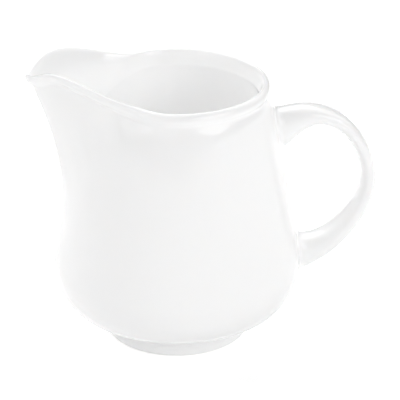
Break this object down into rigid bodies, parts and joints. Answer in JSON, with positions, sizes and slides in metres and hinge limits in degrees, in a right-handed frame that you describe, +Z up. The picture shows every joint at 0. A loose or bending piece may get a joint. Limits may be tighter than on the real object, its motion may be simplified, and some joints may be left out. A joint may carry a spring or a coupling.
{
  "type": "porcelain milk jug",
  "caption": "Small white glazed porcelain jug: round belly on a foot ring, tapering neck, rolled rim, drawn-out pouring spout and strap handle, empty.",
  "frame": {"origin": "centre of the foot ring's resting face, on the axis of the round body", "axes": "+Z up along the axis of the round body, +X towards the handle, spout towards -X; the XZ plane is the plane of symmetry"},
  "size_m": [0.1185, 0.0846, 0.0993],
  "materials": {
    "porcelain": "clear gloss glaze over white porcelain"
  },
  "bodies": {
    "root": {"jug": "porcelain"}
  },
  "joints": []
}
